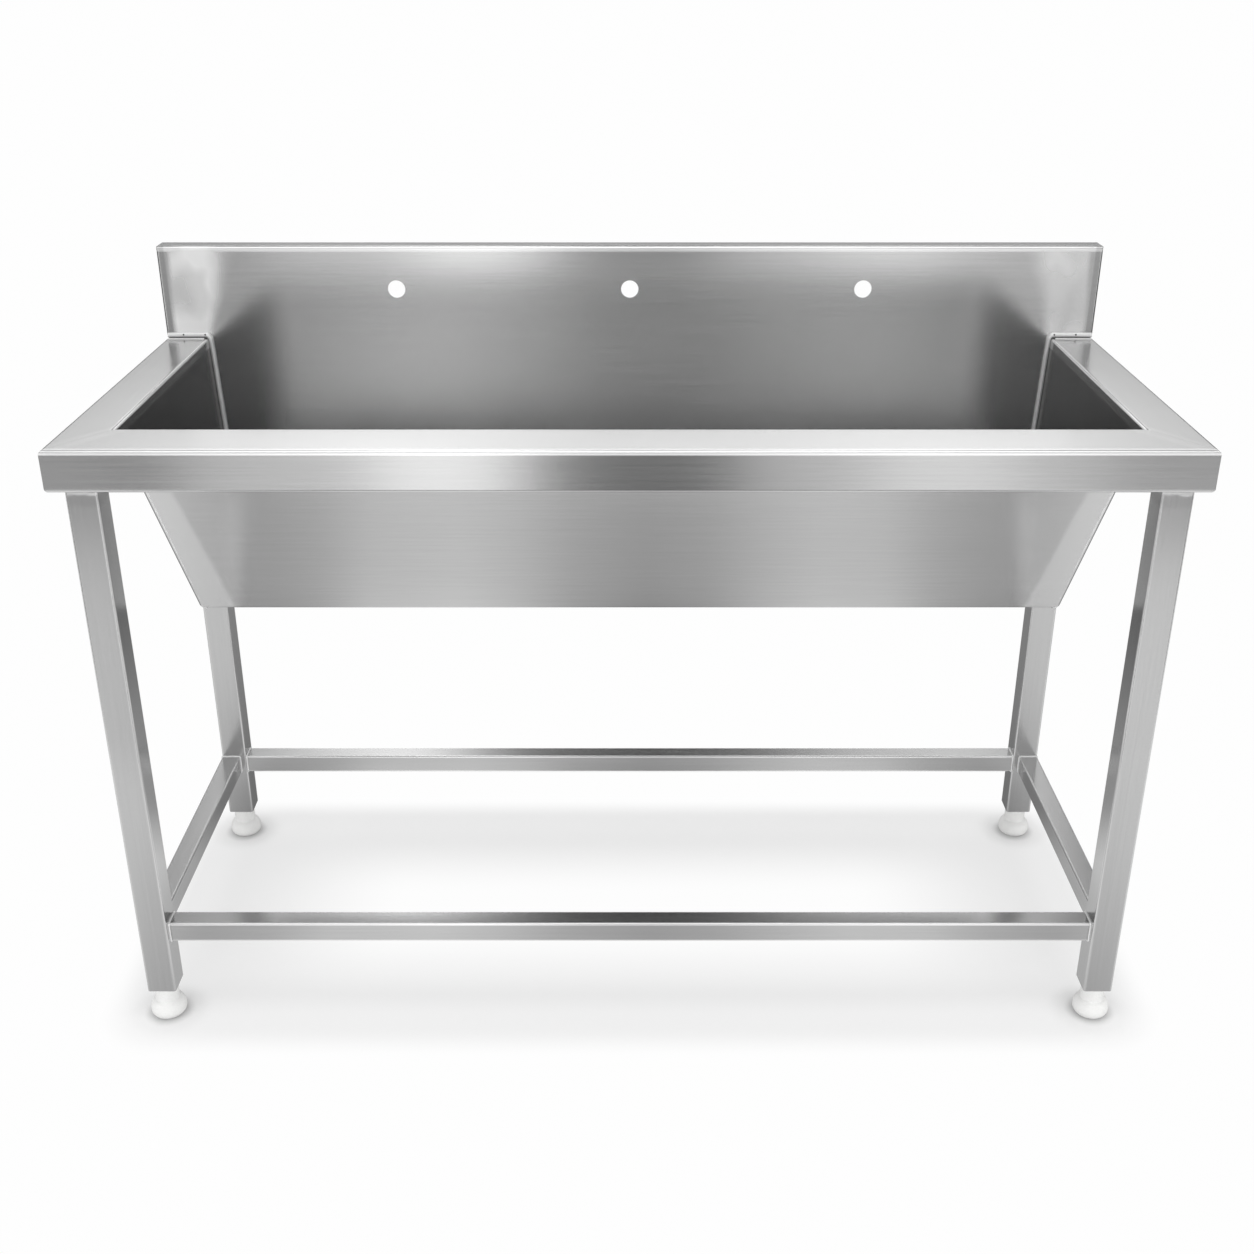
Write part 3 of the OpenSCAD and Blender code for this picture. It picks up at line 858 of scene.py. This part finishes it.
def railLoop(low, high, along, place):
    # round a rail's end, from the middle of its lower edge; the rail runs along X (0) or Y (1)
    near, far = low[1 - along], high[1 - along]
    turns = [((near + far) / 2, low.z), (near, low.z), (near, high.z), (far, high.z), (far, low.z)]
    loop = [(place, across, z) if along == 0 else (across, place, z) for across, z in turns]
    return loop + loop[:1]


sides = (("left", -1), ("right", 1))
slopeFoot = mouthY + (rimTop - troughTop) * frontLean


def endX(height):
    return mouthX - (rimTop - height) * endLean


for sideName, side in sides:
    # one run: along the side rim, down the back corner, over the floor and up the sloping front
    inset, drop = welds["cornerInset"], welds["cornerTo"]
    back, lifted = splashFace - inset, rimTop + welds["cornerLift"]
    run = [(halfWidth - welds["cornerFrom"], back, lifted),
           (mouthX - inset, back, lifted),
           (endX(troughTop) - inset, back, troughTop + inset),
           (endX(troughTop) - inset, slopeFoot + inset, troughTop + inset),
           (endX(rimTop - drop) - inset, mouthY + drop * frontLean + inset, rimTop - drop)]
    sweepBead("cornerWeld_" + sideName, onSide(side, run), welds["cornerRadius"], welds["cornerTurn"])
    toe = [(halfWidth - welds["toeFrom"], splashFace - welds["toeReach"], rimTop),
           (mouthX + welds["toeTo"], splashFace - welds["toeReach"], rimTop)]
    sweepBead("rimWeldToe_" + sideName, onSide(side, toe), welds["toeRadius"], welds["toeTurn"])
    tacks = bmesh.new()
    for x in (halfWidth - welds["tackFrom"], mouthX + welds["tackTo"]):
        ball = bmesh.ops.create_icosphere(tacks, subdivisions=2, radius=welds["tackRadius"])["verts"]
        place = (x * side, splashFace - welds["tackOut"], rimTop + welds["tackUp"])
        bmesh.ops.translate(tacks, vec=place, verts=ball)
    finishPiece("weldTacks_" + sideName, tacks, scaleDark, "stand")

for sideName, side in sides:
    for end in ("front", "rear"):
        low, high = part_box("leg_" + end + "_" + sideName)
        outer = max(abs(low.x), abs(high.x)) + welds["legOut"]
        inner = min(abs(low.x), abs(high.x)) + welds["legInner"]
        z = apronFoot - welds["legUnder"]
        run = [(outer, high.y - welds["legEnds"], z), (outer, low.y + welds["legEnds"], z)]
        if end == "front":
            ahead = low.y - welds["legOut"]
            run = [run[0], (outer, ahead, z), (inner, ahead, z)]
        sweepBead("legWeld_" + end + "_" + sideName, onSide(side, run), welds["legRadius"],
                  welds["tubeTurn"])

for end in ("front", "rear"):
    low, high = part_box("rail_" + end)
    for sideName, side in sides:
        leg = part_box("leg_" + end + "_" + sideName)
        x = (min(abs(leg[0].x), abs(leg[1].x)) - welds["railInset"]) * side
        sweepBead("railWeld_" + end + "_" + sideName, railLoop(low, high, 0, x), welds["railRadius"],
                  welds["tubeTurn"], closed=True)

for sideName, side in sides:
    low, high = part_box("rail_" + sideName)
    for end, y in (("front", low.y + welds["railInset"]), ("rear", high.y - welds["railInset"])):
        sweepBead("sideRailWeld_" + end + "_" + sideName, railLoop(low, high, 1, y), welds["railRadius"],
                  welds["tubeTurn"], closed=True)
print("welds made")


# stage

studio = {
    "floorFront": -1.0,           # the floor's edges
    "floorBack": 1.3,
    "floorSide": 4.0,
    "floorColor": 0.90,
    "floorGlow": 0.50,            # share of the floor that is plain white to the camera
    "innerGlow": 0.48,            # and what is added between the rails
    "contactShade": 0.5,          # how much darker the floor is painted right at a foot
    "contactReach": (0.018, 0.038),
    "footGlow": 0.3,              # share of the glow that is left at a foot
    "footReach": (0.028, 0.065),  # from its middle, as contactReach
    "innerAlong": 0.05,           # where the added glow starts to fade, from the middle
    "innerAcross": 0.35,
    "mirrored": 0.85,             # share of the mirrored floor that the levels below give
    # how bright steel sees the floor, from front to back
    "floorMirrored": [(-1.0, 1.05), (-0.45, 1.05), (-0.2, 1.0), (0.12, 1.0), (0.3, 0.36), (0.8, 0.22),
                      (1.3, 0.2)],
    # shares of it from left to right
    "floorStrips": [(-1.2, 1.0), (-0.85, 0.95), (-0.66, 0.35), (-0.56, 0.55), (-0.47, 1.0), (-0.3, 1.14),
                    (-0.2, 0.9), (-0.1, 0.5), (0.03, 0.28), (0.14, 0.42), (0.24, 0.78), (0.34, 1.05),
                    (0.46, 1.0), (0.55, 0.6), (0.66, 0.35), (0.85, 0.95), (1.2, 1.0)],
    "stripMiddle": 0.7,
    "frontContrast": 0.5,         # how strong those strips are before the rear rail
    "rearContrast": 1.1,
    "contrastTurn": (-0.05, 0.05),
    "shadeReach": (0.04, 0.10),   # out from the feet, where the shade under the rails ends
    "backdrop": 0.99,
    "plainLight": 0.81,           # on matt surfaces
    "sideLoss": 0.35,             # how much darker the room is to both sides
    "sideTurn": (0.2, 0.5),
    "rearTurn": (-0.05, 0.15),    # where the front of the room turns into its rear
    "upperTurn": (0.34, 0.44),
    # brightness of the room against the height of a direction, behind and before the sink
    "rearLevels": [(-0.5, 0.2), (-0.05, 0.25), (0.12, 0.28), (0.2, 0.34), (0.25, 0.72), (0.295, 1.4),
                   (0.33, 2.0), (0.36, 1.7), (0.41, 0.5), (0.5, 0.5), (0.58, 0.95), (0.78, 1.05),
                   (0.84, 1.2), (1, 1.3)],
    "frontLevels": [(-0.5, 0.12), (-0.32, 0.15), (-0.2, 0.28), (-0.1, 0.42), (0, 0.55), (0.3, 0.5),
                    (0.55, 0.12), (0.82, 0.15), (0.92, 1.0), (1, 1.3)],
    # shares of that across the upper rear, from left to right
    "rearStrips": [(-0.5, 0.2), (-0.4, 0.3), (-0.3, 1.0), (-0.21, 1.9), (-0.165, 3.2), (-0.13, 1.5),
                   (-0.09, 0.2), (-0.06, 0.02), (0.06, 0.02), (0.1, 0.15), (0.15, 1.1), (0.27, 1.9),
                   (0.32, 1.0), (0.37, 0.15), (0.5, 0.1)],
    # name, place, aim, width and height, brightness
    "lamps": [
        ("leftStrip", (-0.48, -2.25, 0.9), (-0.48, 0, 0.9), (0.36, 3.2), 0.75),
        ("leftBroad", (-0.70, -2.28, 0.9), (-0.70, 0, 0.9), (0.95, 3.2), 0.62),
        ("rightStrip", (0.80, -2.25, 0.9), (0.80, 0, 0.9), (0.36, 3.2), 0.42),
        ("rightBroad", (0.78, -2.28, 0.9), (0.78, 0, 0.9), (1.0, 3.2), 0.58),
        ("leftWing", (-1.75, -2.1, 0.9), (-1.2, 0, 0.9), (0.9, 3.2), 0.3),
        ("rightWing", (1.75, -2.1, 0.9), (1.2, 0, 0.9), (0.9, 3.2), 0.34),
        ("leftLegStrip", (-1.4, -2.2, -0.55), (-0.7, 0, 0.4), (0.8, 1.0), 0.45),
        ("rightLegStrip", (1.4, -2.2, -0.55), (0.7, 0, 0.4), (0.8, 1.0), 0.5),
        ("rearLeftStrip", (0.7, 2.6, 0.2), (0.7, 0, 0.2), (0.5, 1.6), 0.9),
        ("rearRightStrip", (-0.8, 2.6, 0.2), (-0.8, 0, 0.2), (0.6, 1.6), 0.7),
        ("frontSoftbox", (0, -0.9, 3.5), (0, 0, 0.5), (3.4, 1.2), 1.05),
        ("leftFill", (-2.8, -1.7, 0.9), (0, 0, 0.2), (1.3, 1.4), 1.25),
        ("rightFill", (2.8, -1.7, 0.9), (0, 0, 0.2), (1.3, 1.4), 1.25),
    ],
}


# the feet stand at the corners of a rectangle about feetMiddle
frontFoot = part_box("foot_front_right")
feetMiddle = (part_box("foot_rear_right")[0].y + frontFoot[1].y) / 2
footprint = (frontFoot[0] + frontFoot[1]) / 2
footprint.y = feetMiddle - footprint.y


def makeFloor():
    shape = bmesh.new()
    bmesh.ops.create_grid(shape, x_segments=1, y_segments=1, size=1)
    depth = (studio["floorBack"] - studio["floorFront"]) / 2
    bmesh.ops.scale(shape, vec=(studio["floorSide"], depth, 1), verts=shape.verts)
    bmesh.ops.translate(shape, vec=(0, studio["floorFront"] + depth, 0), verts=shape.verts)
    mesh = bpy.data.meshes.new("studioFloor")
    shape.to_mesh(mesh)
    shape.free()
    floor = bpy.data.objects.new("studioFloor", mesh)
    bpy.context.collection.objects.link(floor)
    material, finish = newMaterial("paleFloor")
    camera = finish.add("LightPath", out="Is Camera Ray")
    mirror = finish.add("LightPath", out="Is Glossy Ray")
    mirror = mirror.top(finish.add("LightPath", out="Is Transmission Ray"))
    x, y, _ = finish.split(finish.spot())
    # the floor turns plain white away from the feet, and keeps its shade under the rails
    across, along = abs(x), abs(y - feetMiddle)
    beyond = ((across - footprint.x).top(0) ** 2 + (along - footprint.y).top(0) ** 2) ** 0.5
    away = finish.rise(beyond, studio["shadeReach"])
    inner = finish.fall(along, (studio["innerAlong"], footprint.y))
    inner = inner * finish.fall(across, (studio["innerAcross"], footprint.x))
    atFeet = ((across - footprint.x) ** 2 + (along - footprint.y) ** 2) ** 0.5
    glow = inner * studio["innerGlow"] + studio["floorGlow"]
    glow = glow + (1 - glow) * away
    glow = glow * finish.remap(atFeet, *studio["footReach"], studio["footGlow"], 1)
    shaded = grey(studio["floorColor"] * (1 - studio["contactShade"]))
    painted = finish.blend(finish.rise(atFeet, studio["contactReach"]), shaded, grey(studio["floorColor"]))
    matte = finish.add("BsdfPrincipled", {}, {
        "Base Color": painted, "Roughness": 1.0, "Specular IOR Level": 0.0})
    white = finish.add("Emission", {}, {"Color": grey(1.0), "Strength": studio["backdrop"]})
    contrast = finish.remap(y, *studio["contrastTurn"], studio["frontContrast"], studio["rearContrast"])
    strips = finish.levels(x, studio["floorStrips"]) - studio["stripMiddle"]
    strips = strips * contrast + studio["stripMiddle"]
    dim = finish.add("BsdfPrincipled", {}, {
        "Base Color": grey(0.0), "Roughness": 1.0, "Specular IOR Level": 0.0, "Emission Strength": 1.0,
        "Emission Color": finish.levels(y, studio["floorMirrored"]) * strips})
    shown = finish.add("MixShader", {}, {0: camera * glow, 1: matte, 2: white})
    upside = finish.add("MixShader", {}, {0: mirror * studio["mirrored"], 1: shown, 2: dim})
    # seen from below it is not there
    beneath = finish.add("NewGeometry", out="Backfacing")
    clear = finish.add("BsdfTransparent")
    closeMaterial(finish, finish.add("MixShader", {}, {0: beneath, 1: upside, 2: clear}))
    mesh.materials.append(material)


def makeWorld():
    world = bpy.data.worlds.new("studioLight")
    bpy.context.scene.world = world
    world.use_nodes = True
    finish = Finish(world.node_tree)
    camera = finish.add("LightPath", out="Is Camera Ray")
    x, y, z = finish.split(finish.add("TexCoord", out="Generated"))
    rear = finish.rise(y, studio["rearTurn"])
    wide = finish.rise(abs(x), studio["sideTurn"])
    rearLevel = finish.levels(z, studio["rearLevels"])
    frontLevel = finish.levels(z, studio["frontLevels"])
    strips = finish.levels(x / y.top(0.05), studio["rearStrips"])
    upper = finish.rise(z, studio["upperTurn"])
    rearLevel = rearLevel * (1 - upper) + rearLevel * strips * upper
    level = frontLevel * (1 - rear) + rearLevel * rear
    level = level * (1 - wide * studio["sideLoss"])
    # matt surfaces are lit evenly, bright ones mirror the room
    glossy = finish.add("LightPath", out="Is Glossy Ray")
    level = level * glossy + (1 - glossy) * studio["plainLight"]
    strength = level * (1 - camera) + camera * studio["backdrop"]
    light = finish.add("Background", {}, {"Color": grey(1.0), "Strength": strength})
    finish.add("OutputWorld", {}, {"Surface": light})


def addLamp(name, place, aim, size, radiance):
    data = bpy.data.lights.new(name, "AREA")
    data.shape = "RECTANGLE"
    data.size, data.size_y = size
    data.energy = radiance * math.pi * size[0] * size[1]
    lamp = bpy.data.objects.new(name, data)
    bpy.context.collection.objects.link(lamp)
    lamp.location = place
    lamp.rotation_euler = (Vector(aim) - Vector(place)).to_track_quat("-Z", "Y").to_euler()
    lamp.visible_camera = False


makeFloor()
makeWorld()
for name, place, aim, size, radiance in studio["lamps"]:
    addLamp(name, place, aim, size, radiance)

bpy.context.scene.view_settings.view_transform = "Standard"
print("stage ready")
